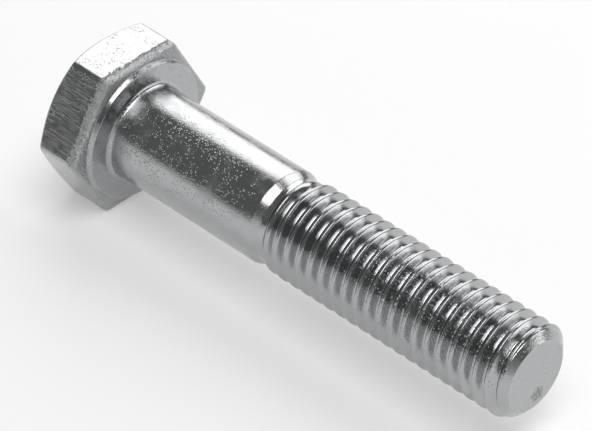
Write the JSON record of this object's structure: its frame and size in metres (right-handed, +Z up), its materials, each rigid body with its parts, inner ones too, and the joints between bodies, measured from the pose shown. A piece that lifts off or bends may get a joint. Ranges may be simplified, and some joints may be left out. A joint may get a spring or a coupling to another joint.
{
  "type": "hex bolt",
  "caption": "Hexagon head bolt with a washer face, a plain shank, a rolled metric thread and a chamfered point",
  "frame": {"origin": "centre of the bearing face under the head, on the bolt's axis", "axes": "+X runs along the axis from the bearing face to the point; +Z is up, with the bolt lying on one flat of its head; +Y completes the right-handed frame, through a corner of the head"},
  "size_m": [0.0675, 0.022, 0.019],
  "materials": {
    "head_zinc": "bright zinc plate over cold-forged steel, satin, with trimming lines on the flats",
    "shank_zinc": "bright zinc plate over drawn steel, semi-bright, lightly pitted",
    "thread_zinc": "bright zinc plate over rolled thread, semi-bright flanks"
  },
  "bodies": {
    "root": {"hex_head": "head_zinc", "washer_face": "head_zinc", "plain_shank": "shank_zinc", "rolled_thread": "thread_zinc", "chamfered_point": "thread_zinc"}
  },
  "joints": []
}
